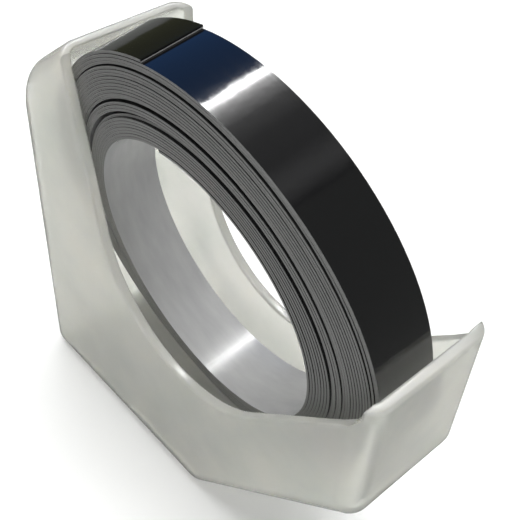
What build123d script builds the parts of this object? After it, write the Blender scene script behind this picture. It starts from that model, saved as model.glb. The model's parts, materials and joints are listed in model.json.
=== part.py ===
"""Refill cassette for an embossing label maker: a moulded holder with a loose coil of tape.

The holder is an open channel. Its rim wall runs from the top of the left arm, down the left
side, along the flat base, up a 45 degree ramp and up a short end wall. Two side plates, each
with the same open window, close the channel front and back. The coil of tape stands in the
channel, leans a little to the front and turns about its own axis when tape is pulled off.
"""
import os
from math import cos, radians, sin, sqrt, tan

from build123d import *

# Tape: glossy vinyl with a peel-off backing, wound vinyl side out
TAPE_WIDTH = 6.35
VINYL_THICKNESS = 0.17
BACKING_THICKNESS = 0.08
AIR_GAP = 0.015                 # on each face of the backing
COIL_RADIUS = 22.4
# Runs of tight turns from the outside in: whole turns, loose gap under the run, axial slip
PACKS = [(4, 0.06, 0.08), (10, 0.10, 0.50), (3, 0.16, 0.90), (8, 0.0, 1.15)]
TAPE_END_ANGLE = 102.5          # where the outer end of the tape lies, from +X

# Place of the coil in the holder
COIL_X = 1.05
COIL_Z = 30.7
COIL_Y = -3.64                  # centre of the coil's front face
COIL_LEAN = 7.7                 # degrees, top of the coil towards the front

# Holder: one thin-walled moulding
CHANNEL_WIDTH = 12.7
PLATE = 1.1
WALL = 1.2
HOLDER_WIDTH = 50.0
RAMP_DISTANCE = 23.8            # from the coil's axis square to the outside of the ramp
END_WALL_TOP = 36.1
ARM_TOP = 47.9
ARM_LEAN = 1.2                  # degrees, left side of the holder from upright
SHOULDER_RADIUS = 9.0           # round outer shoulder of the left arm
SHOULDER_Z = 36.6               # height of the shoulder's centre
ARM_SLOPE = 50.0                # degrees from upright, end of the arm over the coil
ARM_TAPER = 2.5                 # degrees of that slope lost per mm inwards, thins the end
CORNER_RADIUS = 2.4
EDGE_RADIUS = 2.2               # outer long edges of the channel
WINDOW_RADIUS = 13.1
WINDOW_X = COIL_X + 0.9
WINDOW_Z = COIL_Z + 0.37
WINDOW_SLOPE = 11.5             # degrees, left edge of the window from upright
ABOVE_ALL = 62.0                # a height clear of everything

HOLDER_DEPTH = CHANNEL_WIDTH + 2 * PLATE
LEFT = -HOLDER_WIDTH / 2
RIGHT = HOLDER_WIDTH / 2
RAMP_OFFSET = COIL_X - COIL_Z + RAMP_DISTANCE * sqrt(2)     # x - z on the ramp's outside
PITCH = VINYL_THICKNESS + BACKING_THICKNESS + 2 * AIR_GAP


def rim_outline(inset, top_left, top_right):
    """Closed outline of the holder, inset from its outside, between two open top corners."""
    right = RIGHT - inset
    ramp = RAMP_OFFSET - inset * sqrt(2)
    radius = SHOULDER_RADIUS - inset
    lean, slope = radians(ARM_LEAN), radians(ARM_SLOPE - ARM_TAPER * inset)
    shoulder_x = LEFT + SHOULDER_RADIUS / cos(lean) + (SHOULDER_Z - CORNER_RADIUS) * tan(lean)
    side_top = (shoulder_x - radius * cos(lean), SHOULDER_Z + radius * sin(lean))
    side_low = (LEFT + inset / cos(lean) + (inset - CORNER_RADIUS) * tan(lean), inset)
    shoulder_end = (shoulder_x - radius * cos(slope), SHOULDER_Z + radius * sin(slope))
    arm_end = (shoulder_end[0] + (top_left - shoulder_end[1]) * tan(slope), top_left)
    with BuildSketch(Plane.XZ) as outline:
        with BuildLine():
            Line(arm_end, shoulder_end)
            RadiusArc(shoulder_end, side_top, -radius)
            FilletPolyline(
                side_top,
                side_low,
                (ramp + inset, inset),
                (right, right - ramp),
                (right, top_right),
                radius=CORNER_RADIUS - inset,
            )
            Line((right, top_right), arm_end)
        make_face()
    return outline.sketch


# Hollow of the channel, made as the mould's core
with BuildPart() as core:
    hollow = rim_outline(WALL, ARM_TOP + 2, ABOVE_ALL)
    extrude(hollow, amount=CHANNEL_WIDTH / 2, both=True)
    sides = core.faces().filter_by(Axis.Y)
    fillet(sides.edges(), radius=EDGE_RADIUS - WALL)

# Window cut through both side plates
slope = radians(WINDOW_SLOPE)
ramp_angle = radians(-45)
window_low = (WINDOW_X + WINDOW_RADIUS * cos(ramp_angle), WINDOW_Z + WINDOW_RADIUS * sin(ramp_angle))
window_left = (WINDOW_X - WINDOW_RADIUS * cos(slope), WINDOW_Z - WINDOW_RADIUS * sin(slope))
window_top_x = window_left[0] - (ABOVE_ALL - window_left[1]) * tan(slope)
wall_inside = RIGHT - WALL

with BuildPart() as cassette_holder:
    extrude(rim_outline(0, ARM_TOP, END_WALL_TOP), amount=HOLDER_DEPTH / 2, both=True)
    chord = cassette_holder.faces().sort_by(Axis((0, 0, 0), (1, 0, 3)))[-1]
    long_edges = cassette_holder.faces().filter_by(Axis.Y).edges() - chord.edges()
    fillet(long_edges, radius=EDGE_RADIUS)
    add(core.part, mode=Mode.SUBTRACT)
    with BuildSketch(Plane.XZ) as window:
        with BuildLine():
            Line((window_top_x, ABOVE_ALL), window_left)
            RadiusArc(window_left, window_low, -WINDOW_RADIUS)
            Line(window_low, (wall_inside, window_low[1] + wall_inside - window_low[0]))
            Line(
                (wall_inside, window_low[1] + wall_inside - window_low[0]),
                (wall_inside, ABOVE_ALL),
            )
            Line((wall_inside, ABOVE_ALL), (window_top_x, ABOVE_ALL))
        make_face()
    extrude(amount=HOLDER_DEPTH, both=True, mode=Mode.SUBTRACT)
cassette_holder.part.label = "cassette_holder"


def coil_plane(slip):
    """Plane of the coil's front face, moved along the coil's axis by slip towards the front."""
    lean, end = radians(COIL_LEAN), radians(TAPE_END_ANGLE)
    front = Vector(0, -cos(lean), -sin(lean))
    up = Vector(0, -sin(lean), cos(lean))
    centre = Vector(COIL_X, COIL_Y, COIL_Z)
    return Plane(
        origin=centre + front * slip,
        x_dir=Vector(1, 0, 0) * cos(end) + up * sin(end),
        z_dir=front,
    )


def strip_face(plane, crossings, inset, thickness, first_side):
    """One run of a wound strip: half rings between its crossings of the plane's x axis."""
    with BuildSketch(plane) as face:
        with BuildLine():
            for depth in (inset, inset + thickness):
                side = first_side
                for reach, next_reach in zip(crossings, crossings[1:]):
                    CenterArc(
                        center=(side * (reach - next_reach) / 2, 0),
                        radius=(reach + next_reach) / 2 - depth,
                        start_angle=0 if side > 0 else 180,
                        arc_size=180,
                    )
                    side = -side
            for reach, end_side in ((crossings[0], first_side), (crossings[-1], side)):
                Line((end_side * (reach - inset), 0), (end_side * (reach - inset - thickness), 0))
        make_face()
    return face.sketch


def wind(inset, thickness):
    """Whole wound strip, run by run, each run slipped along the axis."""
    with BuildPart() as strip:
        reach, first_side = COIL_RADIUS, 1
        for turns, gap, slip in PACKS:
            crossings = [reach - PITCH / 2 * half for half in range(2 * turns)]
            reach = crossings[-1] - PITCH / 2 - gap
            crossings.append(reach)
            run = strip_face(coil_plane(slip), crossings, inset, thickness, first_side)
            extrude(run, amount=-TAPE_WIDTH)
    return strip


vinyl_tape = wind(0, VINYL_THICKNESS)
vinyl_tape.part.label = "vinyl_tape"
backing_strip = wind(VINYL_THICKNESS + AIR_GAP, BACKING_THICKNESS)
backing_strip.part.label = "backing_strip"

os.makedirs("parts", exist_ok=True)
export_step(cassette_holder.part, "parts/cassette_holder.step")
export_step(vinyl_tape.part, "parts/vinyl_tape.step")
export_step(backing_strip.part, "parts/backing_strip.step")
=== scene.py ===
"""Looks of an embossing label maker's refill: a loose coil of glossy tape in a translucent holder.

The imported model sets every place. The holder is rebuilt as one thin moulding with rounded rims,
and the tape as two strips, vinyl and backing, wound into the same coil turn by turn.
"""
import json
from math import acos, cos, pi, radians, sin, sqrt, tan

import bmesh
import bpy
from mathutils import Matrix, Vector, noise


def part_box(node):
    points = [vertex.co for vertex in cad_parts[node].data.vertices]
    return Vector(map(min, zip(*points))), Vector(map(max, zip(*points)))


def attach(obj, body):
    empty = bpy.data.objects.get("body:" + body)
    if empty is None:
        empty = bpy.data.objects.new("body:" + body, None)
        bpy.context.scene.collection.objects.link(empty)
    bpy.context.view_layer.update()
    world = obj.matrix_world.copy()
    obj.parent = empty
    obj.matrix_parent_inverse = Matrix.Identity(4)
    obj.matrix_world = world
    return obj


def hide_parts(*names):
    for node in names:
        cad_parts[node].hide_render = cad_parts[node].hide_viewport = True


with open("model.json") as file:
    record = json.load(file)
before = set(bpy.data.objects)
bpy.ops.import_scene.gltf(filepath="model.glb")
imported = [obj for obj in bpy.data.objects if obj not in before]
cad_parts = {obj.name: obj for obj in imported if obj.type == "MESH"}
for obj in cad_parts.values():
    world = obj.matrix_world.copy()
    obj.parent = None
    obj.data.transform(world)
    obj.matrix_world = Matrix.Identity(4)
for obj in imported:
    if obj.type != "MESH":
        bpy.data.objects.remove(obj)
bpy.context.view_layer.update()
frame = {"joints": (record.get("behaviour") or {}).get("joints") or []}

MM = 0.001

# Holder, in mm: its outside comes from the frame, its walls and radii are the moulding's own
holder_low, holder_high = (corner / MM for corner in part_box("cassette_holder"))
LEFT, RIGHT, ARM_TOP, HALF_DEPTH = holder_low.x, holder_high.x, holder_high.z, holder_high.y
WALL = 1.2
PLATE = 1.1
EDGE_RADIUS = 2.2
CORNER_RADIUS = 2.4
ARM_LEAN = radians(1.2)
ARM_SLOPE = radians(50.0)
ARM_TAPER = radians(2.5)        # slope lost for each mm of inset, thins the arm's end
ARM_END_DROP = 0.29             # how much lower the arm's end gets for each mm of inset
SHOULDER_RADIUS = 9.0
SHOULDER_Z = 36.6
END_WALL_TOP = 36.1
RAMP_DISTANCE = 23.8
WINDOW_RADIUS = 13.1
WINDOW_SLOPE = radians(11.5)
RIM_ROUND = 0.3

# Coil, in mm: its place and axis come from the joint that it turns on
spin = frame["joints"][0]
COIL_CENTRE = Vector(spin["pos_m"]) / MM
COIL_AXIS = Vector(spin["axis"]).normalized()
COIL_RADIUS = 22.4
TAPE_WIDTH = 6.35
VINYL_THICKNESS = 0.17
BACKING_THICKNESS = 0.08
AIR_GAP = 0.015
PITCH = VINYL_THICKNESS + BACKING_THICKNESS + 2 * AIR_GAP
# Runs of tight turns from the outside in: whole turns, loose gap under the run
PACKS = [(4, 0.06), (10, 0.10), (3, 0.16), (8, 0.0)]
FULL_SLIP = 1.40                # of the innermost turn, towards the front
HOLE_TILT = Vector((0.30, -0.27))       # slip added to it at the right and at the top
HOLE_SHIFT = Vector((0.82, -0.57))      # way the inner turns move off the centre
GAP_USED, AIR_USED = 0.9, 0.4           # shares of the gaps and of the air that this move takes
# Turns that stand back from their neighbours: place in turns, half width in turns, depth
SUNK_TURNS = [(1.6, 0.5, 0.14), (2.9, 0.35, 0.12), (13.0, 0.45, 0.16), (14.4, 0.5, 0.14), (16.9, 0.5, 0.25)]
TURNS = sum(count for count, _ in PACKS)
TAPE_END_ANGLE = radians(102.5)
STEPS_PER_TURN = 120

# Window in both plates
WINDOW_X = COIL_CENTRE.x + 0.9
WINDOW_Z = COIL_CENTRE.z + 0.37
SLOPE_NORMAL = Vector((-cos(WINDOW_SLOPE), -sin(WINDOW_SLOPE)))
RAMP_NORMAL = Vector((1, -1)) / sqrt(2)
WALL_INSIDE = RIGHT - WALL
RAMP_OFFSET = COIL_CENTRE.x - COIL_CENTRE.z + RAMP_DISTANCE * sqrt(2)

# Centres of the arm's shoulder and of the holder's lower left corner
SIDE_OUT = Vector((-cos(ARM_LEAN), sin(ARM_LEAN)))
CORNER = Vector((LEFT + CORNER_RADIUS / cos(ARM_LEAN), CORNER_RADIUS))
SHOULDER_X = LEFT + SHOULDER_RADIUS / cos(ARM_LEAN) + (SHOULDER_Z - CORNER_RADIUS) * tan(ARM_LEAN)
SHOULDER = Vector((SHOULDER_X, SHOULDER_Z))


# ---------------------------------------------------------------- mesh helpers

def make_piece(name, points, faces, materials=(), face_material=None, uvs=None):
    """Smooth mesh object from points in mm, with a material index per face and a UV per point."""
    mesh = bpy.data.meshes.new(name)
    mesh.from_pydata([Vector(p) * MM for p in points], [], faces)
    for material in materials:
        mesh.materials.append(material)
    if face_material:
        for polygon, index in zip(mesh.polygons, face_material):
            polygon.material_index = index
    if uvs:
        layer = mesh.uv_layers.new(name="UVMap")
        for loop in mesh.loops:
            layer.data[loop.index].uv = uvs[loop.vertex_index]
    mesh.polygons.foreach_set("use_smooth", [True] * len(mesh.polygons))
    mesh.update()
    piece = bpy.data.objects.new(name, mesh)
    bpy.context.scene.collection.objects.link(piece)
    return piece


def weld(piece, distance=0.0005):
    """Joins the points that lie together, in mm."""
    work = bmesh.new()
    work.from_mesh(piece.data)
    bmesh.ops.remove_doubles(work, verts=work.verts, dist=distance * MM)
    bmesh.ops.dissolve_degenerate(work, edges=work.edges, dist=distance * MM)
    bmesh.ops.recalc_face_normals(work, faces=work.faces)
    work.to_mesh(piece.data)
    work.free()


def smooth_step(value):
    value = min(max(value, 0.0), 1.0)
    return value * value * (3 - 2 * value)


# ---------------------------------------------------------------- holder

def window_edge(place, offset):
    """Point on the window's edge, moved offset into the plate. Place 0 to 1 is the sloped left
    edge from the top down, 1 to 2 the arc and 2 to 3 the edge along the ramp."""
    centre = Vector((WINDOW_X, WINDOW_Z))
    if place <= 1:
        low = centre + SLOPE_NORMAL * (WINDOW_RADIUS + offset)
        rise = ARM_TOP - (centre.y + SLOPE_NORMAL.y * WINDOW_RADIUS)
        along = Vector((-sin(WINDOW_SLOPE), cos(WINDOW_SLOPE)))
        return low + along * (rise / cos(WINDOW_SLOPE)) * (1 - place)
    if place <= 2:
        start, end = pi + WINDOW_SLOPE, 2 * pi - pi / 4
        angle = start + (end - start) * (place - 1)
        return centre + Vector((cos(angle), sin(angle))) * (WINDOW_RADIUS + offset)
    low = centre + RAMP_NORMAL * WINDOW_RADIUS
    run = WALL_INSIDE - low.x
    return low + Vector((run, run)) * (place - 2) + RAMP_NORMAL * offset


def window_depth(point):
    """How far a point lies inside the window's two straight sides, below zero in the plate."""
    from_centre = point - Vector((WINDOW_X, WINDOW_Z))
    return WINDOW_RADIUS - max(from_centre.dot(SLOPE_NORMAL), from_centre.dot(RAMP_NORMAL))


def arm_place(z):
    """Place along the window's sloped edge at height z."""
    low = window_edge(1, 0).y
    return 1 - (z - low) / (ARM_TOP - low)


def ramp_place(z):
    """Place along the window's ramp edge at height z."""
    low = window_edge(2, 0).y
    return 2 + (z - low) / (WALL_INSIDE - window_edge(2, 0).x)


def arc_point(centre, radius, angle):
    """Maker of points on one station of a round stretch of the rim, by inset."""
    return lambda inset: centre + Vector((cos(angle), sin(angle))) * (radius - inset)


def line_point(start, end, share, normal):
    """Maker of points on one station of a straight stretch of the rim, by inset."""
    return lambda inset: start.lerp(end, share) + normal * inset


def arm_point(share, top=ARM_TOP):
    """The same on the arm: share 0 to 1 goes round the shoulder, 1 to 2 up the arm's end to top."""

    def point(inset):
        slope = ARM_SLOPE - ARM_TAPER * inset
        angle = ARM_LEAN + (slope - ARM_LEAN) * min(share, 1)
        spot = SHOULDER + Vector((-cos(angle), sin(angle))) * (SHOULDER_RADIUS - inset)
        rise = top - ARM_END_DROP * inset - spot.y
        return spot + Vector((rise * tan(slope), rise)) * max(share - 1, 0)

    return point


def rim_stations():
    """(point maker, window place, thinning) down the arm, round the rim and up the end wall."""
    stations = []
    quarter = [radians(a) for a in (90, 67.5, 45, 22.5)]
    for angle in quarter:
        point = arm_point(2, ARM_TOP - RIM_ROUND * (1 - sin(angle)))
        stations.append((point, arm_place(point(EDGE_RADIUS).y), RIM_ROUND * (1 - cos(angle))))
    arm_shares = [2, 1.97, 1.94, 1.9, 1.85, 1.8]
    arm_shares += [1.7 - 0.1 * i for i in range(7)] + [1 - 0.05 * i for i in range(20)]
    for share in arm_shares:
        point = arm_point(share, ARM_TOP - RIM_ROUND)
        stations.append((point, arm_place(point(EDGE_RADIUS).y), 0))

    inner_corner = CORNER_RADIUS * (sqrt(2) - 1)
    foot = Vector((RAMP_OFFSET - inner_corner, CORNER_RADIUS))
    heel = Vector((RIGHT - CORNER_RADIUS, RIGHT - RAMP_OFFSET + inner_corner))

    def straight(start, end, normal, count, place_from, place_to):
        for i in range(count):
            share = i / count
            place = place_from + (place_to - place_from) * share
            stations.append((line_point(start, end, share, normal), place, 0))

    def bend(centre, from_degrees, to_degrees, count, place_from, place_to):
        for i in range(count):
            share = i / count
            angle = radians(from_degrees + (to_degrees - from_degrees) * share)
            place = place_from + (place_to - place_from) * share
            stations.append((arc_point(centre, CORNER_RADIUS, angle), place, 0))

    ramp_out = Vector((1, -1)).normalized() * CORNER_RADIUS
    side_top, side_low = SHOULDER + SIDE_OUT * SHOULDER_RADIUS, CORNER + SIDE_OUT * CORNER_RADIUS
    side_middle = side_top.lerp(side_low, 0.3)
    straight(side_top, side_middle, -SIDE_OUT, 6, arm_place(side_top.y), arm_place(side_middle.y))
    straight(side_middle, side_low, -SIDE_OUT, 14, arm_place(side_middle.y), 1.20)
    bend(CORNER, 180 - ARM_LEAN / pi * 180, 270, 10, 1.20, 1.34)
    straight(Vector((CORNER.x, 0)), Vector((foot.x, 0)), Vector((0, 1)), 14, 1.34, 1.78)
    bend(foot, 270, 315, 6, 1.78, 1.82)
    straight(foot + ramp_out, heel + ramp_out, Vector((-1, 1)).normalized(), 16, 1.82, 1.99)
    bend(heel, 315, 360, 6, 1.99, ramp_place(heel.y))
    wall_low, wall_high = Vector((RIGHT, heel.y)), Vector((RIGHT, END_WALL_TOP - RIM_ROUND))
    heights = [i / 12 for i in range(11)] + [0.94, 0.955, 0.965, 0.975, 0.985, 1]
    for share in heights:
        point = line_point(wall_low, wall_high, share, Vector((-1, 0)))
        stations.append((point, ramp_place(point(0).y), 0))
    for angle in reversed(quarter):
        z = END_WALL_TOP - RIM_ROUND * (1 - sin(angle))
        point = line_point(Vector((RIGHT, z)), Vector((RIGHT, z)), 0, Vector((-1, 0)))
        stations.append((point, ramp_place(z), RIM_ROUND * (1 - cos(angle))))
    return stations


def cut_inset(point, offset):
    """Inset at which a station crosses the window's edge moved offset into the plate."""
    low, high = WALL, EDGE_RADIUS
    for _ in range(30):
        middle = (low + high) / 2
        if window_depth(point(middle)) > -offset:
            high = middle
        else:
            low = middle
    return low


FLAT_STEPS, ROUND_STEPS, PLATE_STEPS, NOSE_STEPS = 4, 9, 8, 4
NOSE_LEAST, NOSE_GROWTH = 0.05, 0.25    # the window edge's rounding is smallest near the rim


def half_section(point, place, thinning):
    """Outer and inner outline of the wall at a station, from the rim's middle to the window."""
    flat = HALF_DEPTH - EDGE_RADIUS
    outer_radius, inner_radius = EDGE_RADIUS - thinning, EDGE_RADIUS - WALL + thinning
    inner_flat = HALF_DEPTH - PLATE - (EDGE_RADIUS - WALL)
    is_cut = window_depth(point(EDGE_RADIUS)) > 0
    near_rim = (window_edge(min(place, 3), 0) - point(EDGE_RADIUS)).length
    nose = NOSE_LEAST if is_cut else min(RIM_ROUND, NOSE_LEAST + NOSE_GROWTH * near_rim)
    if is_cut:
        last_inset = cut_inset(point, nose)

    def side(radius, start_y, rim_inset):
        turn = pi / 2
        if is_cut:
            turn = acos(min(1, (EDGE_RADIUS - last_inset) / radius))
        outline = []
        for i in range(FLAT_STEPS):
            outline.append((point(rim_inset), start_y * i / FLAT_STEPS))
        for i in range(ROUND_STEPS + 1):
            angle = turn * i / ROUND_STEPS
            outline.append((point(EDGE_RADIUS - radius * cos(angle)), start_y + radius * sin(angle)))
        return outline

    outer = side(outer_radius, flat, thinning)
    inner = side(inner_radius, inner_flat, WALL - thinning)
    for outline, sign in ((outer, -1), (inner, 1)):
        last_point, last_y = outline[-1]
        plate_end = last_point if is_cut else window_edge(place, nose)
        for i in range(1, PLATE_STEPS + 1):
            outline.append((last_point.lerp(plate_end, i / PLATE_STEPS), last_y))
        for i in range(1, NOSE_STEPS + 1):
            angle = pi / 2 * i / NOSE_STEPS
            offset = nose * (1 - sin(angle))
            spot = point(cut_inset(point, offset)) if is_cut else window_edge(place, offset)
            outline.append((spot, last_y + sign * nose * (1 - cos(angle))))
    return outer, inner


def build_holder(material):
    """Thin-walled channel: the outer and inner skins are grids of stations by section."""
    points, rings = [], []
    for point, place, thinning in rim_stations():
        outer, inner = half_section(point, place, thinning)
        ring = []
        for outline in (outer, inner):
            whole = [(p, -y) for p, y in reversed(outline[1:])] + list(outline)
            row = []
            for p, y in whole:
                row.append(len(points))
                points.append((p.x, y, p.y))
            ring.append(row)
        rings.append(ring)
    faces = []
    for (outer_a, inner_a), (outer_b, inner_b) in zip(rings, rings[1:]):
        for i in range(len(outer_a) - 1):
            faces.append((outer_a[i], outer_b[i], outer_b[i + 1], outer_a[i + 1]))
            faces.append((inner_a[i + 1], inner_b[i + 1], inner_b[i], inner_a[i]))
        for i, j in ((0, 0), (-1, -1)):
            faces.append((outer_a[i], inner_a[j], inner_b[j], outer_b[i]))
    for outer, inner in (rings[0], rings[-1]):
        for i in range(len(outer) - 1):
            faces.append((outer[i], outer[i + 1], inner[i + 1], inner[i]))
    holder = make_piece("holder_moulding", points, faces, [material])
    weld(holder)
    holder.data.polygons.foreach_set("use_smooth", [True] * len(holder.data.polygons))
    normals = holder.modifiers.new("even_shading", "WEIGHTED_NORMAL")
    normals.weight = 80
    return holder


# ---------------------------------------------------------------- tape

def wound_point(turns, depth, across):
    """Point in the tape after so many turns, at a depth under its outer face and a distance across
    from its front edge. The loose inner turns lie off the coil's centre and a little tilted."""
    angle = TAPE_END_ANGLE + 2 * pi * turns
    outwards = Vector((cos(angle), sin(angle)))
    radius = wound_radius(turns)
    slack = GAP_USED * (COIL_RADIUS - PITCH * turns - radius) + AIR_USED * 2 * AIR_GAP * turns
    spot = outwards * (radius - depth) + HOLE_SHIFT * slack
    tilt = HOLE_TILT.dot(outwards) * (turns / TURNS) ** 2.5
    front = -COIL_AXIS
    right = Vector((1, 0, 0))
    up = front.cross(right)
    return COIL_CENTRE + right * spot.x + up * spot.y + front * (wound_slip(turns) + tilt - across)


def wound_radius(turns):
    """Outer radius of the tape after so many turns from its free end."""
    radius, wound = COIL_RADIUS - PITCH * turns, 0
    for count, gap in PACKS:
        wound += count
        radius -= gap * smooth_step((turns - wound + 0.5) / 0.5)
    return radius


def wound_slip(turns):
    """How far the tape stands to the front after so many turns: the loose coil is pushed out
    towards its middle, with a little unevenness and a few sunk turns."""
    share = turns / TURNS
    slow = noise.noise(Vector((turns * 0.9, 3.1, 0)))
    quick = noise.noise(Vector((turns * 5.3, 0, 7.7)))
    uneven = 0.05 * slow + 0.02 * quick
    sunk = sum(
        depth * (1 - smooth_step(abs(turns - place) / width)) for place, width, depth in SUNK_TURNS
    )
    return FULL_SLIP * share ** 0.9 + uneven - sunk


def wound_groove(turns):
    """How open the groove between two turns is, from 0 to 1: least in the tight inner turns."""
    tight = smooth_step((turns - 16) / 2)
    return (1 - 0.85 * tight) * (0.55 + 0.45 * noise.noise(Vector((turns * 1.3, 9.2, 1.0))))


def build_strip(name, inset, thickness, chamfer, face, edge):
    """One wound strip with chamfered cut edges. Its UV runs along and across the tape, in mm."""
    side_material = [0, 1, 1, 1, 0, 1, 1, 1]
    points, uvs, faces, face_material = [], [], [], []
    length, last = 0.0, None
    for step in range(TURNS * STEPS_PER_TURN + 1):
        turn = step / STEPS_PER_TURN
        spot = wound_point(turn, inset, 0)
        length += (spot - last).length if last else 0
        last = spot
        c = chamfer * (0.12 + 0.88 * wound_groove(turn))
        section = [
            (0, c), (0, TAPE_WIDTH - c), (c, TAPE_WIDTH), (thickness - c, TAPE_WIDTH),
            (thickness, TAPE_WIDTH - c), (thickness, c), (thickness - c, 0), (c, 0),
        ]
        for depth, across in section:
            points.append(wound_point(turn, inset + depth, across))
            uvs.append((length, across))
        if step:
            a, b = (step - 1) * 8, step * 8
            for i in range(8):
                j = (i + 1) % 8
                faces.append((a + i, b + i, b + j, a + j))
                face_material.append(side_material[i])
    last_row = TURNS * STEPS_PER_TURN * 8
    faces += [tuple(range(8)), tuple(last_row + 7 - i for i in range(8))]
    face_material += [0, 0]
    strip = make_piece(name, points, faces, [face, edge], face_material, uvs)
    sharp = strip.data.attributes.new("sharp_edge", "BOOLEAN", "EDGE")
    for edge_line in strip.data.edges:
        a, b = edge_line.vertices
        sharp.data[edge_line.index].value = a // 8 == b // 8 and a // 8 in (0, last_row // 8)
    normals = strip.modifiers.new("even_shading", "WEIGHTED_NORMAL")
    normals.weight = 90
    normals.keep_sharp = True
    return strip


# ---------------------------------------------------------------- materials

class Nodes:
    """A material with one Principled shader and short calls for its procedural inputs."""

    def __init__(self, name, **sockets):
        self.material = bpy.data.materials.new(name)
        self.material.use_nodes = True
        self.tree = self.material.node_tree
        self.shader = self.tree.nodes["Principled BSDF"]
        for socket, value in sockets.items():
            self.shader.inputs[socket.replace("_", " ")].default_value = value

    def add(self, kind, **settings):
        node = self.tree.nodes.new("ShaderNode" + kind)
        for key, value in settings.items():
            node.inputs[key].default_value = value
        return node

    def link(self, source, target):
        self.tree.links.new(source, target)

    def coordinates(self, output, scale):
        """Texture coordinates stretched by scale, from metres or from the tape's own UV in mm."""
        place = self.add("TexCoord")
        mapping = self.add("Mapping", Scale=scale)
        self.link(place.outputs[output], mapping.inputs["Vector"])
        return mapping.outputs["Vector"]

    def noise(self, vector, scale, detail=3, roughness=0.5):
        node = self.add("TexNoise", Scale=scale, Detail=detail, Roughness=roughness)
        self.link(vector, node.inputs["Vector"])
        return node.outputs["Fac"]

    def ramp(self, factor, stops):
        """Colour ramp; a stop is (place, colour)."""
        node = self.add("ValToRGB")
        self.link(factor, node.inputs["Fac"])
        elements = node.color_ramp.elements
        while len(elements) < len(stops):
            elements.new(0.5)
        for element, (place, colour) in zip(elements, stops):
            element.position = place
            element.color = (*colour, 1)
        return node.outputs["Color"]

    def span(self, factor, low, high):
        """Maps a factor of 0.3 to 0.7, where noise mostly lies, to low to high."""
        node = self.add("MapRange")
        for socket, value in (("From Min", 0.3), ("From Max", 0.7), ("To Min", low), ("To Max", high)):
            node.inputs[socket].default_value = value
        self.link(factor, node.inputs["Value"])
        return node.outputs["Result"]

    def bump(self, height, distance, strength=1.0, below=None):
        """Bump of a height, in metres at distance, on top of another bump."""
        node = self.add("Bump", Strength=strength, Distance=distance)
        self.link(height, node.inputs["Height"])
        if below:
            self.link(below, node.inputs["Normal"])
        self.link(node.outputs["Normal"], self.shader.inputs["Normal"])
        return node.outputs["Normal"]


def translucent_plastic():
    """Natural polypropylene: milky and satin, with faint clouds."""
    m = Nodes(
        "translucent_polypropylene",
        IOR=1.49, Transmission_Weight=0.78, Subsurface_Weight=0.50, Subsurface_Scale=0.0015,
    )
    m.shader.inputs["Subsurface Radius"].default_value = (1.0, 1.0, 0.9)
    space = m.coordinates("Object", (1, 1, 1))
    clouds = m.noise(space, 120, 4, 0.55)
    cool, plain, warm = (0.83, 0.85, 0.80), (0.925, 0.92, 0.87), (0.975, 0.95, 0.88)
    colour = m.ramp(clouds, [(0.30, cool), (0.55, plain), (0.75, warm)])
    m.link(colour, m.shader.inputs["Base Color"])
    m.link(m.span(m.noise(space, 150, 2), 0.19, 0.26), m.shader.inputs["Roughness"])
    return m.material


def glossy_vinyl():
    """Black vinyl film, high gloss, drawn lengthwise."""
    m = Nodes("glossy_black_vinyl", Base_Color=(0.004, 0.004, 0.0045, 1), IOR=1.5)
    space = m.coordinates("UV", (0.12, 1.6, 1))
    m.link(m.span(m.noise(space, 2.0, 3), 0.07, 0.12), m.shader.inputs["Roughness"])
    drawn = m.bump(m.noise(m.coordinates("UV", (0.05, 3.0, 1)), 2.0, 2), 0.00002, 0.20)
    m.bump(m.noise(m.coordinates("UV", (0.6, 0.5, 1)), 1.0, 2), 0.00006, 0.20, drawn)
    return m.material


def cut_vinyl():
    """Slit edge of the vinyl, dull and a little greyed."""
    m = Nodes("slit_vinyl_edge", IOR=1.5)
    space = m.coordinates("UV", (1.0, 1.0, 1))
    marks = m.noise(space, 3.0, 4, 0.7)
    colour = m.ramp(marks, [(0.3, (0.115, 0.115, 0.114)), (0.7, (0.175, 0.175, 0.172))])
    m.link(colour, m.shader.inputs["Base Color"])
    m.link(m.span(marks, 0.40, 0.60), m.shader.inputs["Roughness"])
    m.bump(marks, 0.00002, 0.4)
    return m.material


def release_film():
    """Light grey backing film with a semi-gloss release coat."""
    m = Nodes("grey_release_film", IOR=1.48)
    space = m.coordinates("UV", (0.15, 0.6, 1))
    tone = m.noise(space, 1.5, 3)
    colour = m.ramp(tone, [(0.3, (0.30, 0.30, 0.305)), (0.7, (0.34, 0.34, 0.34))])
    m.link(colour, m.shader.inputs["Base Color"])
    m.link(m.span(tone, 0.16, 0.26), m.shader.inputs["Roughness"])
    m.bump(m.noise(m.coordinates("UV", (0.10, 0.25, 1)), 1.0, 2), 0.00004, 0.2)
    return m.material


def cut_film():
    """Slit edge of the backing film."""
    m = Nodes("slit_film_edge", IOR=1.48)
    marks = m.noise(m.coordinates("UV", (1.0, 1.0, 1)), 2.0, 4, 0.7)
    colour = m.ramp(marks, [(0.3, (0.15, 0.15, 0.15)), (0.7, (0.22, 0.22, 0.217))])
    m.link(colour, m.shader.inputs["Base Color"])
    m.link(m.span(marks, 0.45, 0.65), m.shader.inputs["Roughness"])
    return m.material


def floor_material():
    m = Nodes("pale_floor", Roughness=0.9)
    tone = m.noise(m.coordinates("Object", (1, 1, 1)), 12, 2)
    colour = m.ramp(tone, [(0.3, (0.93, 0.93, 0.93)), (0.7, (0.95, 0.95, 0.95))])
    m.link(colour, m.shader.inputs["Base Color"])
    return m.material


# ---------------------------------------------------------------- studio

FLOOR_HALF, ROOM_HEIGHT = 1500, 3000    # in mm


def room_corners(z):
    half = FLOOR_HALF
    return [(-half, -half, z), (half, -half, z), (half, half, z), (-half, half, z)]


def make_floor():
    floor = make_piece("floor", room_corners(0), [(0, 1, 2, 3)], [floor_material()])
    floor.visible_glossy = False


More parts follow.
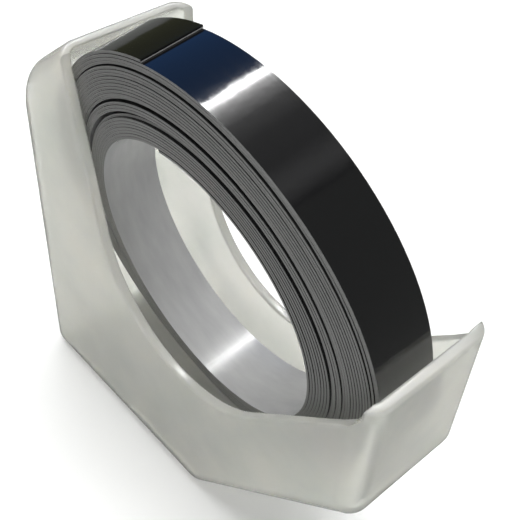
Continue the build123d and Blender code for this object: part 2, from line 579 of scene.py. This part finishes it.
def make_backdrop():
    """Pale walls and ceiling behind the floor, seen directly or through the plastic only."""
    corners = room_corners(0) + room_corners(ROOM_HEIGHT)
    sides = [(0, 1, 5, 4), (1, 2, 6, 5), (2, 3, 7, 6), (3, 0, 4, 7), (4, 5, 6, 7)]
    paper = Nodes("pale_paper", Base_Color=(0, 0, 0, 1), Roughness=1.0, Emission_Strength=0.97)
    paper.shader.inputs["Emission Color"].default_value = (1.0, 1.0, 0.99, 1)
    paper.shader.inputs["Specular IOR Level"].default_value = 0.0
    backdrop = make_piece("backdrop", corners, sides, [paper.material])
    backdrop.visible_diffuse = False
    backdrop.visible_glossy = False
    backdrop.visible_shadow = False


def area_light(name, place, target, size, power):
    """Soft box at a place in metres, facing a target."""
    data = bpy.data.lights.new(name, "AREA")
    data.shape = "RECTANGLE"
    data.size, data.size_y = size
    data.energy = power
    light = bpy.data.objects.new(name, data)
    aim = Vector(target) - Vector(place)
    light.location = place
    light.rotation_mode = "QUATERNION"
    light.rotation_quaternion = aim.to_track_quat("-Z", "Y")
    bpy.context.scene.collection.objects.link(light)
    return light


def glow_panel(name, corners, stops, strength=1.0):
    """Light panel between four corners in mm, its glow graded from the first two corners to the
    last two by (share, colour) stops. It shows only in what reflects it."""
    material = bpy.data.materials.new(name)
    material.use_nodes = True
    tree = material.node_tree
    tree.nodes.clear()
    place = tree.nodes.new("ShaderNodeTexCoord")
    split = tree.nodes.new("ShaderNodeSeparateXYZ")
    ramp = tree.nodes.new("ShaderNodeValToRGB")
    glow = tree.nodes.new("ShaderNodeEmission")
    output = tree.nodes.new("ShaderNodeOutputMaterial")
    elements = ramp.color_ramp.elements
    while len(elements) < len(stops):
        elements.new(0.5)
    for element, (share, colour) in zip(elements, stops):
        element.position, element.color = share, (*colour, 1)
    glow.inputs["Strength"].default_value = strength
    tree.links.new(place.outputs["UV"], split.inputs["Vector"])
    tree.links.new(split.outputs["X"], ramp.inputs["Fac"])
    tree.links.new(ramp.outputs["Color"], glow.inputs["Color"])
    tree.links.new(glow.outputs["Emission"], output.inputs["Surface"])
    panel = make_piece(name, corners, [(0, 1, 2, 3)], [material], None, [(0, 0), (0, 1), (1, 1), (1, 0)])
    return panel


def make_lights():
    """Two panels that only reflections see, two soft boxes and a dim world."""
    # Overhead panel, bright at its left end: the streak on the tape and the grey beside it
    x0, x1, y0, y1, z = -268, 332, 40, 400, 550
    levels = [
        (-268, 42), (-240, 42), (-214, 9), (-160, 3.0), (-100, 0.95), (-10, 0.4),
        (120, 0.32), (185, 0.6), (230, 0.65), (300, 0.25), (332, 0.1),
    ]
    brightest = max(level for _, level in levels)
    stops = [((x - x0) / (x1 - x0), (level / brightest,) * 3) for x, level in levels]
    corners = [(x0, y0, z), (x0, y1, z), (x1, y1, z), (x1, y0, z)]
    key = glow_panel("key_panel", corners, stops, brightest)
    # Panel at the left, olive low down and navy above: the tints at the top of the tape
    olive, navy = (0.08, 0.085, 0.045), (0.06, 0.20, 0.55)
    x, y0, y1, z = -700, -400, 1300, 1500
    side = glow_panel(
        "cool_side", [(x, y0, 0), (x, y1, 0), (x, y1, z), (x, y0, z)],
        [(0.0, olive), (0.18, olive), (0.195, navy), (1.0, navy)],
    )
    for panel in (key, side):
        panel.visible_camera = False
        panel.visible_diffuse = False
        panel.visible_transmission = False
        panel.visible_shadow = False
    area_light("front_fill", (0.35, -0.55, 0.45), (0, 0, 0.02), (0.6, 0.6), 2.6)
    top = area_light("soft_top", (-0.1, 0.25, 1.2), (0, 0, 0), (1.2, 1.2), 19.0)
    top.visible_glossy = False
    world = bpy.data.worlds.new("studio")
    world.use_nodes = True
    background = world.node_tree.nodes["Background"]
    background.inputs["Color"].default_value = (0.97, 1.0, 0.95, 1)
    background.inputs["Strength"].default_value = 0.25
    bpy.context.scene.world = world


def make_camera():
    """Camera close to the object, its direction given by azimuth, elevation and roll."""
    place = Vector((45.8, -41.1, 91.2)) * MM
    azimuth, elevation, roll = (radians(a) for a in (45.21, 45.17, 4.15))
    data = bpy.data.cameras.new("camera")
    data.sensor_width = 36
    data.lens = 61.9
    data.clip_start, data.clip_end = 0.005, 20
    camera = bpy.data.objects.new("camera", data)
    back = Vector((sin(azimuth) * cos(elevation), -cos(azimuth) * cos(elevation), sin(elevation)))
    level = Vector((0, 0, 1)).cross(back).normalized()
    above = back.cross(level)
    right = level * cos(roll) + above * sin(roll)
    up = above * cos(roll) - level * sin(roll)
    camera.matrix_world = Matrix.Translation(place) @ Matrix((right, up, back)).transposed().to_4x4()
    bpy.context.scene.collection.objects.link(camera)
    bpy.context.scene.camera = camera


# ---------------------------------------------------------------- the object

holder = build_holder(translucent_plastic())
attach(holder, "holder")
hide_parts("cassette_holder")

VINYL_CHAMFER, BACKING_CHAMFER = 0.03, 0.012

vinyl = build_strip(
    "vinyl_strip", 0, VINYL_THICKNESS, VINYL_CHAMFER, glossy_vinyl(), cut_vinyl()
)
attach(vinyl, "coil")
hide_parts("vinyl_tape")

backing = build_strip(
    "release_backing", VINYL_THICKNESS + AIR_GAP, BACKING_THICKNESS, BACKING_CHAMFER,
    release_film(), cut_film(),
)
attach(backing, "coil")
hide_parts("backing_strip")

make_floor()
make_backdrop()
make_lights()
make_camera()
bpy.context.scene.view_settings.view_transform = "Standard"
